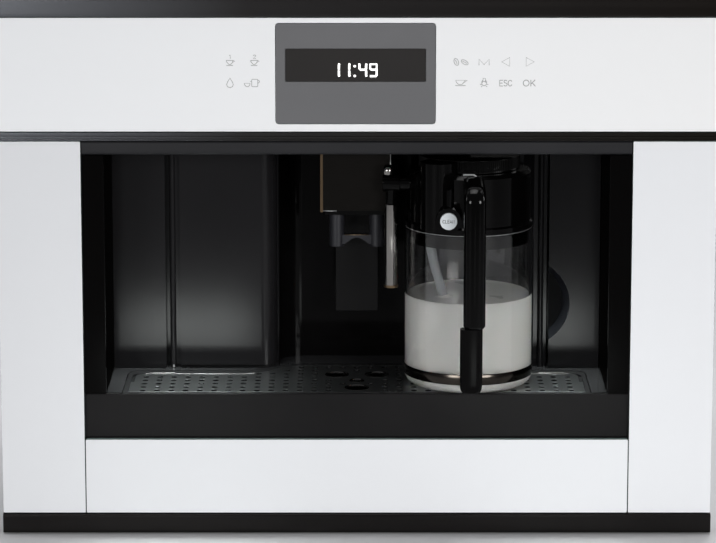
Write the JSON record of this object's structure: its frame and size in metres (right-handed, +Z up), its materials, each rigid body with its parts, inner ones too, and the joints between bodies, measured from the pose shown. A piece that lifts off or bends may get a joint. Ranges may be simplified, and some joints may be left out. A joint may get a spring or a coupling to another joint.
{
  "type": "built in coffee machine",
  "caption": "Built-in coffee machine for a furniture niche: white glass front with display, cup niche with height-adjustable spout, milk carafe, drip tray, water tank, on telescopic rails.",
  "frame": {"origin": "under the middle of the machine's box, on the floor of the furniture niche", "axes": "+X to the right as seen by the user, +Y from the front into the furniture, +Z up"},
  "size_m": [0.595, 0.4282, 0.455],
  "materials": {
    "white_glass": "polished, white behind clear",
    "dark_trim": "dark chrome, softly polished",
    "grey_glass": "satin grey",
    "screen_glass": "dark, polished",
    "satin_black": "satin",
    "gloss_black": "high gloss",
    "liner_black": "fine grained satin",
    "brushed_dark": "brushed, dark",
    "satin_grey": "satin",
    "chrome": "polished",
    "grid_steel": "polished sheet",
    "clear_glass": "clear",
    "zinc_sheet": "galvanised",
    "grey_plastic": "satin",
    "smoked_plastic": "clear, smoked",
    "tube_plastic": "translucent"
  },
  "bodies": {
    "rail_base": {"left_bracket": "zinc_sheet", "right_bracket": "zinc_sheet", "left_outer_rail": "zinc_sheet", "right_outer_rail": "zinc_sheet", "rear_brace": "zinc_sheet"},
    "middle_rails": {"left_middle_rail": "zinc_sheet", "right_middle_rail": "zinc_sheet"},
    "service_door": {"service_door": "liner_black"},
    "coffee_spout": {"spout_housing": "gloss_black", "spout_plate": "brushed_dark", "coffee_nozzles": "satin_grey"},
    "water_tank": {"tank_front": "liner_black", "tank_shell": "smoked_plastic"},
    "drip_tray": {"tray_basin": "satin_black", "tray_bar": "satin_black", "drip_grid": "grid_steel"},
    "carafe": {"carafe_glass": "clear_glass", "carafe_band": "chrome", "carafe_lid": "gloss_black", "handle_sleeve": "satin_black", "handle_grip": "gloss_black", "milk_intake": "tube_plastic"},
    "froth_knob": {"froth_knob": "gloss_black"},
    "clean_button": {"clean_button": "chrome"},
    "milk_spout": {"milk_elbow": "gloss_black", "milk_tube": "chrome"},
    "bean_lid": {"bean_lid": "smoked_plastic"},
    "grind_knob": {"grind_knob": "grey_plastic"},
    "main_switch": {"main_switch": "satin_black"},
    "machine": {"left_glass": "white_glass", "right_glass": "white_glass", "lower_glass": "white_glass", "control_glass": "white_glass", "top_trim": "dark_trim", "bottom_trim": "dark_trim", "divider_strip": "dark_trim", "display_module": "grey_glass", "display_screen": "screen_glass", "front_frame": "satin_black", "niche_rail": "satin_black", "mains_inlet": "satin_black", "spout_guide": "gloss_black", "niche_liner": "liner_black", "steam_nozzle": "chrome", "boiler": "grid_steel", "left_inner_rail": "zinc_sheet", "right_inner_rail": "zinc_sheet", "chassis_base": "zinc_sheet", "left_side_panel": "zinc_sheet", "right_side_panel": "zinc_sheet", "rear_cover": "zinc_sheet", "top_cover": "zinc_sheet", "works_deck": "zinc_sheet", "door_hinge_pin": "zinc_sheet", "grinder": "grey_plastic", "brew_unit": "grey_plastic", "grounds_container": "grey_plastic", "water_pump": "grey_plastic", "bean_hopper": "smoked_plastic", "cup_light": "tube_plastic"}
  },
  "joints": [
    {"name": "pull_out", "type": "slide", "parent": "rail_base", "child": "machine", "axis": [0, -1, 0], "range_m": [0, 0.28]},
    {"name": "rail_follow", "type": "slide", "parent": "rail_base", "child": "middle_rails", "axis": [0, -1, 0], "range_m": [0, 0.14]},
    {"name": "door_hinge", "type": "hinge", "parent": "machine", "child": "service_door", "pos_m": [-0.1585, -0.07595, 0.222], "axis": [0, 0, -1], "range_deg": [0, 95]},
    {"name": "spout_height", "type": "slide", "parent": "machine", "child": "coffee_spout", "axis": [0, 0, -1], "range_m": [0, 0.06]},
    {"name": "tank_slide", "type": "slide", "parent": "machine", "child": "water_tank", "axis": [0, -1, 0], "range_m": [0, 0.2]},
    {"name": "tray_slide", "type": "slide", "parent": "machine", "child": "drip_tray", "axis": [0, -1, 0], "range_m": [0, 0.12]},
    {"name": "carafe_slide", "type": "slide", "parent": "machine", "child": "carafe", "axis": [0, -1, 0], "range_m": [0, 0.14]},
    {"name": "froth_knob_turn", "type": "hinge", "parent": "carafe", "child": "froth_knob", "pos_m": [0.0945, -0.12365, 0.31], "axis": [0, 0, 1], "range_deg": [0, 120]},
    {"name": "clean_button_press", "type": "slide", "parent": "carafe", "child": "clean_button", "axis": [0, 1, 0], "range_m": [0, 0.002], "stiffness_N_per_m": 500},
    {"name": "milk_spout_swing", "type": "hinge", "parent": "carafe", "child": "milk_spout", "pos_m": [0.0288, -0.13115, 0.292], "axis": [-1, 0, 0], "range_deg": [0, 60]},
    {"name": "bean_lid_hinge", "type": "hinge", "parent": "machine", "child": "bean_lid", "pos_m": [-0.01, 0.13585, 0.439], "axis": [-1, 0, 0], "range_deg": [0, 95]},
    {"name": "grind_knob_turn", "type": "hinge", "parent": "machine", "child": "grind_knob", "pos_m": [0.19, 0.05385, 0.44], "axis": [0, 0, 1], "range_deg": [0, 270]},
    {"name": "main_switch_rock", "type": "hinge", "parent": "machine", "child": "main_switch", "pos_m": [0.14, 0.19115, 0.07], "axis": [1, 0, 0], "range_deg": [0, 14]}
  ],
  "couplings": [
    {"joint": "rail_follow", "follows": "pull_out", "ratio": 0.5}
  ]
}
